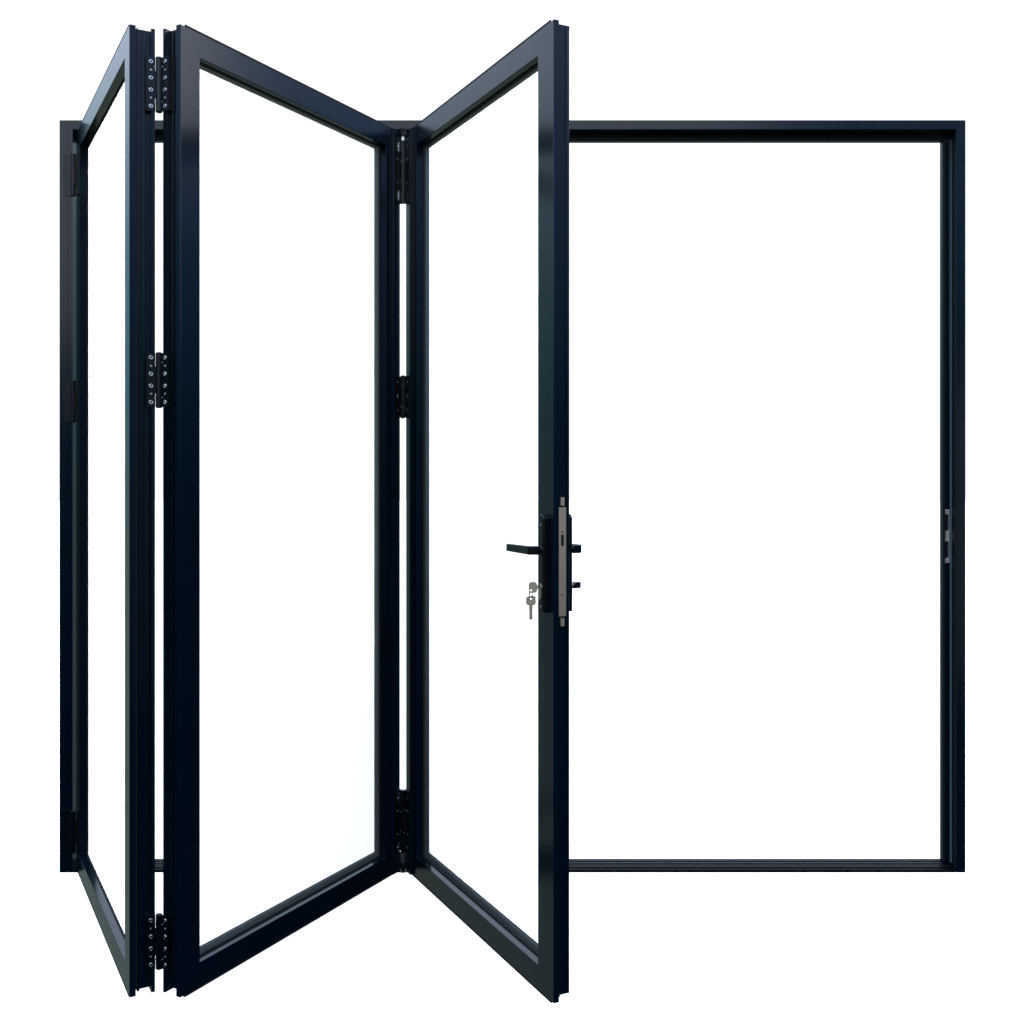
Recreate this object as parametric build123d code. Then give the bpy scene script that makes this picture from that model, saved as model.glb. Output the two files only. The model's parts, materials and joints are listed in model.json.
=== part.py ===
from build123d import *
import math
import os

# Outer frame, one aluminium section for both jambs and the head
frame_width = 2770.0
frame_height = 2300.0
frame_depth = 70.0
frame_face = 28.0
frame_arris = 1.0
stop_projection = 20.0
stop_depth = 18.0
seal_lip = 2.0
seal_groove_width = 15.0
seal_groove_depth = 3.0
hinge_filler = 12.0

# Low threshold that lies between the jambs
sill_height = 8.0
sill_step = 3.0
sill_step_depth = 8.0
sill_upstand = 8.0
sill_upstand_depth = 6.0
guide_groove_width = 12.0
guide_groove_depth = 5.0
drain_length = 30.0
drain_width = 7.0
drain_line = 565.0

# Hanging track cut into the underside of the head
track_setback = 15.0
track_slot = 12.0
track_lip = 4.0
track_cavity_width = 26.0
track_cavity_height = 14.0

# Running gaps round the leaves when they are shut
head_clearance = 12.0
sill_clearance = 3.0
hinge_jamb_gap = 4.0
meeting_gap = 6.0
lock_jamb_gap = 4.0

# Leaf section
leaf_thickness = 49.0
sash_arris = 1.0
stile_face = 62.0
lock_stile_face = 75.0
rail_face = 58.0
flange_overlap = 12.0
top_overlap = 3.0
bottom_overlap = 9.0
flange_thickness = 14.0
glass_setback = 25.0
glass_thickness = 18.0
glass_pocket = 12.0
glass_edge_gap = 3.0
bead_width = 15.0
bead_slope = 5.0

# Meeting adapters that carry the folding hinges
adapter_depth = 9.0
adapter_width = 36.0
adapter_chamfer = 2.0

# Fold of the leaves, measured from the plane of the frame
first_leaf_angle = 61.6
lead_leaf_angle = 64.2

# Hinges
knuckle_radius = 7.5
middle_knuckle = 64.0
knuckle_play = 0.4
pin_radius = 3.5
pin_play = 0.2
fold_axis_offset = 8.0
jamb_axis_offset = 10.0
jamb_axis_inset = 2.0
hinge_height = 126.0
hinge_plate = 2.0
hinge_plate_width = 21.0
hinge_wing = 2.5
hinge_wing_width = 24.0
hinge_wing_inset = 9.0
hinge_web = 5.5
hinge_top_inset = 130.0
hinge_bottom_inset = 117.0
middle_hinge_level = 1440.0
carrier_middle_level = 1453.0
carrier_hinge_height = 190.0
carrier_hinge_top_inset = 124.0
carrier_hinge_bottom_inset = 152.0

# Top carrier and bottom guide
arm_thickness = 6.0
arm_width = 18.0
arm_lift = 3.0
carrier_stem_radius = 5.0
carrier_nut_radius = 7.5
carrier_nut_height = 11.0
nut_play = 0.3
trolley_length = 64.0
trolley_width = 9.0
trolley_height = 8.0
wheel_radius = 5.5
wheel_width = 5.0
wheel_play = 0.4
guide_plate_thickness = 2.2
guide_plate_lift = 0.4
guide_block_length = 30.0
guide_block_play = 0.4
guide_collar_radius = 8.0
guide_collar_height = 30.0

# Lock, handles and keys on the lead leaf
spindle_level = 1045.0
lock_centres = 85.0
lock_backset = 34.0
lock_depth = 28.5
backplate_width = 24.0
backplate_thickness = 15.0
backplate_rise = 83.0
backplate_drop = 144.0
backplate_round = 4.0
spindle_size = 8.0
spindle_bore_radius = 6.5
lever_neck_radius = 8.0
lever_neck_play = 0.5
lever_plate_gap = 5.0
lever_neck_width = 16.0
lever_standoff = 47.0
lever_length = 114.0
lever_height = 20.0
lever_tip_height = 18.0
lever_thickness = 12.0
lever_tip_thickness = 9.0
lever_bend = 14.0
lever_inner_bend = 6.0
lever_round = 2.5
lever_face_play = 0.5
socket_play = 0.1
socket_depth = 26.0
cylinder_radius = 8.5
cylinder_tongue = 24.0
cylinder_tongue_width = 10.0
cylinder_play = 0.2
cylinder_proud = 3.0
thumb_radius = 7.5
thumb_length = 24.0
thumb_round = 2.0
thumb_grip = 8.0
thumb_grip_length = 16.0
thumb_play = 0.3
thumb_pivot_radius = 3.0
thumb_pivot_length = 8.0
faceplate_width = 19.5
faceplate_thickness = 3.0
faceplate_rise = 99.0
faceplate_drop = 152.0
latch_slot_width = 7.5
latch_slot_height = 26.0
latch_slot_rise = 23.0
latch_tip = 2.4
latch_heel = 0.8
dead_bolt_width = 6.6
dead_bolt_height = 30.0
dead_bolt_rise = 21.0
bolt_play = 0.3
rod_width = 10.0
rod_length = 19.0
rod_thickness = 4.0
rod_gap = 4.0
key_thickness = 2.2
key_blade = 8.0
key_bow_height = 25.0
key_bow_width = 21.0
key_bow_round = 6.0
key_bow_margin = 2.0
key_neck = 7.0
key_reach = 30.0
key_blade_length = 33.0
key_hole_radius = 3.0
key_hole_shift = 5.0
key_play = 0.2
ring_radius = 7.0
ring_wire = 1.0
ring_play = 0.4
strike_width = 8.0
strike_height = 166.0
strike_thickness = 3.0
strike_tab_reach = 9.0
strike_tab_thickness = 2.5
strike_tab_height = 15.0
strike_box_height = 33.0
strike_box_thickness = 5.0

# Levels and widths that follow from the sizes above
front = -frame_depth / 2
back = frame_depth / 2
stop_front = back - stop_depth
half_width = frame_width / 2
wall = half_width - frame_face
stop_edge = wall - stop_projection
soffit = frame_height - frame_face
leaf_bottom = sill_height + sill_clearance
leaf_top = soffit - head_clearance
leaf_height = leaf_top - leaf_bottom
clear_width = 2 * wall - hinge_filler - hinge_jamb_gap - 2 * meeting_gap - lock_jamb_gap
leaf_width = clear_width / 3
half_gap = meeting_gap / 2
glass_back = glass_setback + glass_thickness
track_line = front + track_setback
cylinder_level = spindle_level - lock_centres
lock_line = leaf_width - lock_backset
inner_axis = leaf_thickness + adapter_depth + fold_axis_offset
outer_axis = -adapter_depth - fold_axis_offset


def prism(points, direction):
    """Closed outline of 3-D points pushed along one direction."""
    outline = make_face(Polyline(*points, close=True))
    length = math.sqrt(sum(part * part for part in direction))
    return extrude(outline, amount=length, dir=direction)


def block(low, high):
    """Box between two opposite corners."""
    size = [b - a for a, b in zip(low, high)]
    middle = [(a + b) / 2 for a, b in zip(low, high)]
    return Pos(*middle) * Box(*size)


def rod(centre, radius, low, high):
    """Upright round bar between two levels."""
    x, y = centre
    return Pos(x, y, (low + high) / 2) * Cylinder(radius, high - low)


def cross_rod(level, line, radius, low, high):
    """Round bar through a leaf, from one depth to another."""
    return Pos(line, (low + high) / 2, level) * Rot(90, 0, 0) * Cylinder(radius, high - low)


def turned(vector, angle):
    """Plan vector turned about the vertical by an angle in degrees."""
    c = math.cos(math.radians(angle))
    s = math.sin(math.radians(angle))
    return (vector[0] * c - vector[1] * s, vector[0] * s + vector[1] * c)


def leaf_place(pivot, local_axis, angle):
    """Location that puts a leaf's own axis point on its pivot at an angle."""
    offset = turned(local_axis, angle)
    return Location((pivot[0] - offset[0], pivot[1] - offset[1], 0), (0, 0, angle))


def placed(place, shape):
    """A shape moved to its place, solid by solid."""
    moved = [place * solid for solid in shape.solids()]
    return moved[0] if len(moved) == 1 else Compound(children=moved)


def fold():
    """Pivots and leaf locations of the half-opened door."""
    jamb_axis = (jamb_axis_inset, -jamb_axis_offset)
    edge = -wall + hinge_filler + hinge_jamb_gap
    pivot_0 = (edge + jamb_axis_inset, front - jamb_axis_offset)
    first_end = (leaf_width + half_gap, inner_axis)
    arm = turned((first_end[0] - jamb_axis[0], first_end[1] - jamb_axis[1]), -first_leaf_angle)
    pivot_1 = (pivot_0[0] + arm[0], pivot_0[1] + arm[1])
    span = (leaf_width + meeting_gap, outer_axis - inner_axis)
    rise = front + outer_axis - pivot_1[1]
    run = math.sqrt(math.hypot(*span) ** 2 - rise ** 2)
    pivot_2 = (pivot_1[0] + run, pivot_1[1] + rise)
    second_angle = math.degrees(math.atan2(rise, run) - math.atan2(span[1], span[0]))
    places = [
        leaf_place(pivot_0, jamb_axis, -first_leaf_angle),
        leaf_place(pivot_1, (-half_gap, inner_axis), second_angle),
        leaf_place(pivot_2, (-half_gap, outer_axis), -lead_leaf_angle),
    ]
    return [pivot_0, pivot_1, pivot_2], places


def frame_section(x_sign):
    """Jamb section in plan: arris, seal groove in the rebate wall, and stop."""
    groove_near = front + seal_lip
    groove_far = groove_near + seal_groove_width
    outline = [
        (half_width, front),
        (wall + frame_arris, front),
        (wall, front + frame_arris),
        (wall, groove_near),
        (wall + seal_groove_depth, groove_near),
        (wall + seal_groove_depth, groove_far),
        (wall, groove_far),
        (wall, stop_front),
        (stop_edge, stop_front),
        (stop_edge, back),
        (half_width, back),
    ]
    return [(x_sign * x, y, 0) for x, y in outline]


def mitred_jamb(x_sign):
    """Jamb that stands on the floor and is mitred to the head."""
    post = prism(frame_section(x_sign), (0, 0, frame_height))
    depth = half_width - stop_edge
    mitre = prism(
        [
            (x_sign * half_width, front, 0),
            (x_sign * stop_edge, front, 0),
            (x_sign * stop_edge, front, frame_height - depth),
            (x_sign * half_width, front, frame_height),
        ],
        (0, frame_depth, 0),
    )
    return post & mitre


def head():
    """Head with its hanging track, mitred to the jambs."""
    section = [
        (-half_width, front, frame_height),
        (-half_width, front, soffit + frame_arris),
        (-half_width, front + frame_arris, soffit),
        (-half_width, stop_front, soffit),
        (-half_width, stop_front, soffit - stop_projection),
        (-half_width, back, soffit - stop_projection),
        (-half_width, back, frame_height),
    ]
    beam = prism(section, (frame_width, 0, 0))
    depth = half_width - stop_edge
    mitre = prism(
        [
            (-half_width, front, frame_height),
            (half_width, front, frame_height),
            (stop_edge, front, frame_height - depth),
            (-stop_edge, front, frame_height - depth),
        ],
        (0, frame_depth, 0),
    )
    slot = block(
        (-wall, track_line - track_slot / 2, soffit),
        (wall, track_line + track_slot / 2, soffit + track_lip),
    )
    cavity = block(
        (-wall, track_line - track_cavity_width / 2, soffit + track_lip),
        (wall, track_line + track_cavity_width / 2, soffit + track_lip + track_cavity_height),
    )
    return (beam & mitre) - slot - cavity


def sill():
    """Threshold with a guide groove, drain slots and a stepped upstand at the back."""
    upstand_front = back - sill_upstand_depth
    step_front = upstand_front - sill_step_depth
    section = [
        (front, 0),
        (front, sill_height),
        (step_front, sill_height),
        (step_front, sill_height + sill_step),
        (upstand_front, sill_height + sill_step),
        (upstand_front, sill_height + sill_upstand),
        (back, sill_height + sill_upstand),
        (back, 0),
    ]
    bar = prism([(-wall, y, z) for y, z in section], (2 * wall, 0, 0))
    groove_floor = sill_height - guide_groove_depth
    bar = bar - block(
        (-wall, track_line - guide_groove_width / 2, groove_floor),
        (wall, track_line + guide_groove_width / 2, sill_height),
    )
    for side in (-1, 1):
        end = sorted((side * stop_edge, side * wall))
        bar = bar - block((end[0], stop_front, 0), (end[1], back, sill_height + sill_upstand))
        middle = side * drain_line
        bar = bar - block(
            (middle - drain_length / 2, track_line - drain_width / 2, 0),
            (middle + drain_length / 2, track_line + drain_width / 2, groove_floor),
        )
    return bar


def filler_strip():
    """Packing section on the hinge jamb."""
    return block((-wall, front, sill_height), (-wall + hinge_filler, stop_front, soffit))


def sash_section(face, overlap):
    """Leaf section as pairs of (distance from the outer edge, depth)."""
    return [
        (0, sash_arris),
        (sash_arris, 0),
        (face - sash_arris, 0),
        (face, sash_arris),
        (face, glass_setback),
        (face - glass_pocket, glass_setback),
        (face - glass_pocket, leaf_thickness),
        (overlap + sash_arris, leaf_thickness),
        (overlap, leaf_thickness - sash_arris),
        (overlap, flange_thickness),
        (0, flange_thickness),
    ]


def stile(face, at_start):
    """Upright of a leaf, mitred to both rails."""
    edge = 0 if at_start else leaf_width
    side = 1 if at_start else -1
    section = [(edge + side * w, v, leaf_bottom) for w, v in sash_section(face, flange_overlap)]
    post = prism(section, (0, 0, leaf_height))
    mitre = prism(
        [
            (edge, 0, leaf_bottom),
            (edge + side * face, 0, leaf_bottom + rail_face),
            (edge + side * face, 0, leaf_top - rail_face),
            (edge, 0, leaf_top),
        ],
        (0, leaf_thickness, 0),
    )
    return post & mitre


def edge_rebate(start):
    """Space behind the flange along one upright edge of a leaf."""
    return block((start, flange_thickness, leaf_bottom), (start + flange_overlap, leaf_thickness, leaf_top))


def rails(first_face, last_face):
    """Top and bottom rail of a leaf, mitred to the two stiles."""
    pair = []
    for edge, side, overlap in ((leaf_bottom, 1, bottom_overlap), (leaf_top, -1, top_overlap)):
        section = [(0, v, edge + side * w) for w, v in sash_section(rail_face, overlap)]
        bar = prism(section, (leaf_width, 0, 0))
        mitre = prism(
            [
                (0, 0, edge),
                (leaf_width, 0, edge),
                (leaf_width - last_face, 0, edge + side * rail_face),
                (first_face, 0, edge + side * rail_face),
            ],
            (0, leaf_thickness, 0),
        )
        pair.append((bar & mitre) - edge_rebate(0) - edge_rebate(leaf_width - flange_overlap))
    return Compound(children=pair)


def pocket_corners(first_face, last_face, inset):
    """Lower and upper corner of a leaf's glazing pocket, less an inset all round."""
    low = (first_face - glass_pocket + inset, leaf_bottom + rail_face - glass_pocket + inset)
    high = (leaf_width - last_face + glass_pocket - inset, leaf_top - rail_face + glass_pocket - inset)
    return low, high


def pocket_box(first_face, last_face, inset, near, far):
    """Block that fills the glazing pocket between two depths, less an inset."""
    low, high = pocket_corners(first_face, last_face, inset)
    return block((low[0], near, low[1]), (high[0], far, high[1]))


def pocket_outline(first_face, last_face, inset, depth):
    """Upright rectangle in the glazing pocket at one depth."""
    low, high = pocket_corners(first_face, last_face, inset)
    corners = [(low[0], low[1]), (high[0], low[1]), (high[0], high[1]), (low[0], high[1])]
    return make_face(Polyline(*[(u, depth, z) for u, z in corners], close=True))


def pane(first_face, last_face):
    """Sealed double-glazed unit."""
    return pocket_box(first_face, last_face, glass_edge_gap, glass_setback, glass_back)


def bead_ring(first_face, last_face):
    """Glazing beads round the inner side of the pane, sloped towards the glass."""
    outer = pocket_box(first_face, last_face, 0, glass_back, leaf_thickness)
    sight = loft([
        pocket_outline(first_face, last_face, bead_width, glass_back),
        pocket_outline(first_face, last_face, bead_width - bead_slope, leaf_thickness),
    ])
    return outer - sight


def adapter(at_start, inside):
    """Full-height strip that sets a folding hinge clear of the leaf."""
    near, far = (leaf_thickness, leaf_thickness + adapter_depth) if inside else (0, -adapter_depth)
    start = 0 if at_start else leaf_width - adapter_width
    end = start + adapter_width
    shoulder = far - adapter_chamfer if inside else far + adapter_chamfer
    outline = [
        (start, near),
        (start, shoulder),
        (start + adapter_chamfer, far),
        (end - adapter_chamfer, far),
        (end, shoulder),
        (end, near),
    ]
    return prism([(u, v, leaf_bottom) for u, v in outline], (0, 0, leaf_height))


def hinge_levels(height, middle, top_inset, bottom_inset):
    """Middle level and height of the three hinges on one fold line."""
    return [
        (leaf_bottom + bottom_inset, height),
        (middle, hinge_height),
        (leaf_top - top_inset, height),
    ]


def knuckle_levels(level, height, in_middle):
    """Lower and upper level of each knuckle on one half of a hinge."""
    reach = middle_knuckle / 2 - knuckle_play / 2
    if in_middle:
        return [(level - reach, level + reach)]
    reach = reach + knuckle_play
    return [(level - height / 2, level - reach), (level + reach, level + height / 2)]


def hinge_half(axis, plates, web, level, height, in_middle):
    """One half of a hinge: its plates, webs and knuckles bored for the pin."""
    low = level - height / 2
    high = level + height / 2
    half = None
    for u0, u1, v0, v1 in plates:
        plate = block((u0, v0, low), (u1, v1, high))
        half = plate if half is None else half + plate
    for bottom, top in knuckle_levels(level, height, in_middle):
        half = half + rod(axis, knuckle_radius, bottom, top)
        half = half + block((web[0], web[2], bottom), (web[1], web[3], top))
    return half - rod(axis, pin_radius + pin_play, low, high)


def hinge_row(axis, plates, web, levels, in_middle):
    """The same half hinge at each level of a fold line."""
    return Compound(children=[hinge_half(axis, plates, web, z, h, in_middle) for z, h in levels])


def edge_half(at_start):
    """Plates, web and axis of a hinge let into a leaf's edge."""
    side = -1 if at_start else 1
    edge = 0 if at_start else leaf_width
    inner_face = leaf_thickness + adapter_depth
    near = inner_face - hinge_plate_width
    outer = sorted((edge, edge + side * hinge_plate))
    pad = sorted((edge, edge - side * flange_overlap))
    plates = [(*outer, near, inner_face), (*pad, near, leaf_thickness)]
    web = (*outer, inner_face, inner_axis)
    return (edge + side * half_gap, inner_axis), plates, web


def face_half(at_start):
    """Plates, web and axis of a hinge laid on the outer face of an adapter."""
    side = 1 if at_start else -1
    edge = 0 if at_start else leaf_width
    axis = (edge - side * half_gap, outer_axis)
    start = axis[0] + side * hinge_wing_inset
    wing = sorted((start, start + side * hinge_wing_width))
    web = sorted((axis[0], start))
    face = -adapter_depth
    plates = [(*wing, face - hinge_wing, face)]
    return axis, plates, (*web, face - hinge_web, face)


def jamb_half(side, axis, face):
    """Plates and web of a hinge laid on the front of the jamb or first leaf."""
    start = axis[0] + side * hinge_wing_inset
    wing = sorted((start, start + side * hinge_wing_width))
    web = sorted((axis[0], start))
    plates = [(*wing, face - hinge_wing, face)]
    return plates, (*web, face - jamb_axis_offset, face)


def hinge_pins(pivots, levels):
    """Pins of all nine hinges, with the ends that reach carrier and guide."""
    pins = []
    for pivot, row in zip(pivots, levels):
        for z, height in row:
            pins.append((pivot, z - height / 2, z + height / 2))
    last = len(pins) - 1
    pivot, low, high = pins[last]
    pins[last] = (pivot, low, leaf_top + arm_lift + arm_thickness)
    pivot, low, high = pins[last - 2]
    pins[last - 2] = (pivot, sill_height + guide_plate_lift, high)
    return Compound(children=[rod(pivot, pin_radius, low, high) for pivot, low, high in pins])


def arm_plate(pivot, low, high):
    """Flat arm from a hinge pin back to the track line, bored for the pin."""
    x, y = pivot
    bar = block((x - arm_width / 2, y, low), (x + arm_width / 2, track_line, high))
    bar = bar + rod(pivot, arm_width / 2, low, high) + rod((x, track_line), arm_width / 2, low, high)
    return bar - rod(pivot, pin_radius + pin_play, low, high)


def top_carrier(pivot):
    """Arm, stem and trolley with its four wheels, and the nut on the hinge pin."""
    x = pivot[0]
    arm_low = leaf_top + arm_lift
    arm_high = arm_low + arm_thickness
    floor = soffit + track_lip
    axle = floor + wheel_radius
    body_low = axle - trolley_height / 2
    body_high = axle + trolley_height / 2
    body = arm_plate(pivot, arm_low, arm_high) + rod((x, track_line), carrier_stem_radius, arm_low, body_low)
    body = body + block(
        (x - trolley_length / 2, track_line - trolley_width / 2, body_low),
        (x + trolley_length / 2, track_line + trolley_width / 2, body_high),
    )
    pieces = [body]
    for end in (-1, 1):
        for side in (-1, 1):
            middle = track_line + side * (trolley_width / 2 + wheel_play + wheel_width / 2)
            wheel = Pos(x + end * (trolley_length / 2 - wheel_radius), middle, axle)
            pieces.append(wheel * Rot(90, 0, 0) * Cylinder(wheel_radius, wheel_width))
    nut_low = leaf_top - carrier_hinge_top_inset + carrier_hinge_height / 2 + nut_play
    hexagon = Pos(*pivot, nut_low) * RegularPolygon(carrier_nut_radius, 6)
    nut = extrude(hexagon, carrier_nut_height)
    pieces.append(nut - rod(pivot, pin_radius + pin_play, nut_low, nut_low + carrier_nut_height))
    return Compound(children=pieces)


def bottom_guide(pivot):
    """Thin arm, the block that runs in the threshold groove, and the pin's collar."""
    x = pivot[0]
    low = sill_height + guide_plate_lift
    plate = arm_plate(pivot, low, low + guide_plate_thickness)
    half = guide_groove_width / 2 - guide_block_play
    shoe = block(
        (x - guide_block_length / 2, track_line - half, sill_height - guide_groove_depth + guide_block_play),
        (x + guide_block_length / 2, track_line + half, low),
    )
    collar_high = leaf_bottom + carrier_hinge_bottom_inset - carrier_hinge_height / 2 - nut_play
    collar_low = collar_high - guide_collar_height
    collar = rod(pivot, guide_collar_radius, collar_low, collar_high)
    collar = collar - rod(pivot, pin_radius + pin_play, collar_low, collar_high)
    return Compound(children=[plate + shoe, collar])


def cylinder_body(play, near, far):
    """Pear-shaped lock cylinder from one depth to another."""
    barrel = cross_rod(cylinder_level, lock_line, cylinder_radius + play, near, far)
    half = cylinder_tongue_width / 2 + play
    tip_level = cylinder_level - cylinder_tongue
    tongue = block((lock_line - half, near, tip_level), (lock_line + half, far, cylinder_level))
    return barrel + tongue + cross_rod(tip_level, lock_line, half, near, far)


def lock_bores(near, far, radius):
    """Holes for the spindle or lever neck and for the cylinder."""
    return cross_rod(spindle_level, lock_line, radius, near, far) + cylinder_body(cylinder_play, near, far)


def lock_stile():
    """Lock stile bored for spindle and cylinder."""
    return stile(lock_stile_face, False) - lock_bores(0, leaf_thickness, spindle_bore_radius)


def backplate(near):
    """Long handle plate with a rounded top and the two bores."""
    half = backplate_width / 2
    far = near + backplate_thickness
    low = spindle_level - backplate_drop
    high = spindle_level + backplate_rise - half
    plate = block((lock_line - half, near, low), (lock_line + half, far, high))
    plate = plate + cross_rod(high, lock_line, half, near, far)
    outer_face = plate.faces().filter_by(Axis.Y).sort_by(Axis.Y)[-1 if near > 0 else 0]
    plate = fillet(outer_face.edges(), backplate_round)
    return plate - lock_bores(near, far, lever_neck_radius + lever_neck_play)


def spindle_bar(play, near, far):
    """Square spindle between two depths."""
    half = spindle_size / 2 + play
    return block(
        (lock_line - half, near, spindle_level - half),
        (lock_line + half, far, spindle_level + half),
    )


def upright_edge(shape, point):
    """Upright edge of a shape that lies nearest to a plan point."""
    return shape.edges().filter_by(Axis.Z).sort_by_distance(Vector(*point, spindle_level))[0]


def lever_grip(shoulder, outer, side):
    """Neck and grip in one bent bar that narrows to its tip."""
    right = lock_line + lever_neck_width / 2
    left = lock_line - lever_neck_width / 2
    tip = lock_line - lever_length
    inner = outer - side * lever_thickness
    low = spindle_level - lever_height / 2
    plan = [
        (right, shoulder),
        (right, outer),
        (tip, outer),
        (tip, outer - side * lever_tip_thickness),
        (left, inner),
        (left, shoulder),
    ]
    bar = prism([(u, v, low) for u, v in plan], (0, 0, lever_height))
    tip_low = spindle_level - lever_tip_height / 2
    side_view = [
        (right, low),
        (tip, tip_low),
        (tip, tip_low + lever_tip_height),
        (right, low + lever_height),
    ]
    start, end = sorted((shoulder, outer))
    bar = bar & prism([(u, start, z) for u, z in side_view], (0, end - start, 0))
    bar = fillet(upright_edge(bar, (right, outer)), lever_bend)
    bar = fillet(upright_edge(bar, (left, inner)), lever_inner_bend)
    return fillet(bar.edges(), lever_round)


def lever(face, side):
    """Lever handle: round collar, square socket and a bent grip."""
    root = face + side * lever_face_play
    shoulder = face + side * (backplate_thickness + lever_plate_gap)
    grip = lever_grip(shoulder, face + side * lever_standoff, side)
    low, high = sorted((root, shoulder + side * lever_inner_bend))
    collar = cross_rod(spindle_level, lock_line, lever_neck_radius, low, high)
    near, far = sorted((face, root + side * socket_depth))
    return collar + grip - spindle_bar(socket_play, near, far)


def spindle():
    """Square bar that joins the two levers."""
    reach = lever_face_play + socket_depth - pin_play
    return spindle_bar(0, -reach, leaf_thickness + reach)


def lock_cylinder():
    """Lock cylinder with a keyway outside and a pivot bore inside."""
    near = -backplate_thickness - cylinder_proud
    far = leaf_thickness + backplate_thickness + cylinder_proud
    half = key_thickness / 2 + key_play
    keyway = block(
        (lock_line - half, near, cylinder_level - key_blade / 2 - key_play),
        (lock_line + half, near + key_blade_length, cylinder_level + key_blade / 2 + key_play),
    )
    bore_radius = thumb_pivot_radius + thumb_play
    bore = cross_rod(cylinder_level, lock_line, bore_radius, far - thumb_pivot_length - thumb_play, far)
    return cylinder_body(0, near, far) - keyway - bore


def thumb_turn():
    """Knob on the inner end of the cylinder, flattened for the fingers."""
    near = leaf_thickness + backplate_thickness + cylinder_proud + thumb_play
    far = near + thumb_length
    knob = cross_rod(cylinder_level, lock_line, thumb_radius, near, far)
    for side in (-1, 1):
        flat = sorted((lock_line + side * thumb_grip / 2, lock_line + side * thumb_radius))
        knob = knob - block(
            (flat[0], far - thumb_grip_length, cylinder_level - thumb_radius),
            (flat[1], far, cylinder_level + thumb_radius),
        )
    knob = fillet(knob.faces().sort_by(Axis.Y)[-1].edges(), thumb_round)
    return knob + cross_rod(cylinder_level, lock_line, thumb_pivot_radius, near - thumb_pivot_length, near)


def key_bow(depth, level, hole_level, height, width):
    """Rounded head of a key, holed for the ring."""
    half = key_thickness / 2
    outline = extrude(RectangleRounded(height, width, key_bow_round), half, both=True)
    drill = Rot(0, 90, 0) * Cylinder(key_hole_radius, key_thickness)
    hole = Pos(lock_line, ring_depth(), hole_level) * drill
    return Pos(lock_line, depth, level) * Rot(0, 90, 0) * outline - hole


def bow_centre():
    """Depth of the middle of the key's head in front of the leaf."""
    return -backplate_thickness - cylinder_proud - key_neck - key_bow_width / 2


def ring_depth():
    """Depth of the key ring, which hangs from the outer end of the key's head."""
    return bow_centre() - key_hole_shift


def key():
    """Key that stands in the cylinder."""
    half = key_thickness / 2
    depth = bow_centre()
    far = -backplate_thickness - cylinder_proud + key_reach
    shank = block(
        (lock_line - half, depth, cylinder_level - key_blade / 2),
        (lock_line + half, far, cylinder_level + key_blade / 2),
    )
    return key_bow(depth, cylinder_level, first_hole_level(), key_bow_height, key_bow_width) + shank


def first_hole_level():
    """Level of the ring hole in the key that stands in the cylinder."""
    return cylinder_level - key_bow_height / 2 + key_bow_margin + key_hole_radius


def ring_level():
    """Level of the middle of the key ring."""
    return first_hole_level() - key_hole_radius + ring_wire + ring_play - ring_radius


def key_ring():
    """Flat ring hung from the key in the cylinder."""
    width = 2 * ring_wire
    ring = Cylinder(ring_radius + ring_wire, width) - Cylinder(ring_radius - ring_wire, width)
    return Pos(lock_line, ring_depth(), ring_level()) * Rot(90, 0, 0) * ring


def spare_key():
    """Second key that hangs from the ring."""
    half = key_thickness / 2
    depth = ring_depth()
    hole = ring_level() - ring_radius - key_hole_radius + ring_wire + ring_play
    level = hole + key_hole_radius + key_bow_margin - key_bow_width / 2
    shank = block(
        (lock_line - half, depth - key_blade / 2, level - key_bow_width / 2 - key_blade_length),
        (lock_line + half, depth + key_blade / 2, level - key_hole_radius),
    )
    return key_bow(depth, level, hole, key_bow_width, key_bow_height) + shank


def edge_plate(width, low, high, thickness):
    """Flat piece on the lock edge of the lead leaf."""
    edge = leaf_width - flange_overlap
    return block((edge, lock_depth - width / 2, low), (edge + thickness, lock_depth + width / 2, high))


def latch_level():
    """Level of the middle of the latch."""
    return spindle_level + latch_slot_rise


def dead_bolt_level():
    """Level of the middle of the dead bolt."""
    return cylinder_level + dead_bolt_rise


def lock_faceplate():
    """Faceplate with the openings for the latch and the dead bolt."""
    plate = edge_plate(faceplate_width, spindle_level - faceplate_drop, spindle_level + faceplate_rise,
                       faceplate_thickness)
    for width, height, level in (
        (latch_slot_width, latch_slot_height, latch_level()),
        (dead_bolt_width, dead_bolt_height, dead_bolt_level()),
    ):
        plate = plate - edge_plate(width, level - height / 2, level + height / 2, faceplate_thickness)
    return plate


def lock_bolts():
    """Sloped latch and flush dead bolt in the faceplate."""
    edge = leaf_width - flange_overlap
    half = latch_slot_width / 2 - bolt_play
    low = latch_level() - latch_slot_height / 2 + bolt_play
    latch = prism(
        [
            (edge, lock_depth - half, low),
            (edge, lock_depth + half, low),
            (edge + latch_tip, lock_depth + half, low),
            (edge + latch_heel, lock_depth - half, low),
        ],
        (0, 0, latch_slot_height - 2 * bolt_play),
    )
    reach = dead_bolt_height / 2 - bolt_play
    dead_bolt = edge_plate(
        dead_bolt_width - 2 * bolt_play,
        dead_bolt_level() - reach,
        dead_bolt_level() + reach,
        faceplate_thickness,
    )
    return Compound(children=[latch, dead_bolt])


def lock_rods():
    """Ends of the locking rods above and below the faceplate."""
    top = spindle_level + faceplate_rise + rod_gap
    bottom = spindle_level - faceplate_drop - rod_gap
    upper = edge_plate(rod_width, top, top + rod_length, rod_thickness)
    lower = edge_plate(rod_width, bottom - rod_length, bottom, rod_thickness)
    return Compound(children=[upper, lower])


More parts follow.
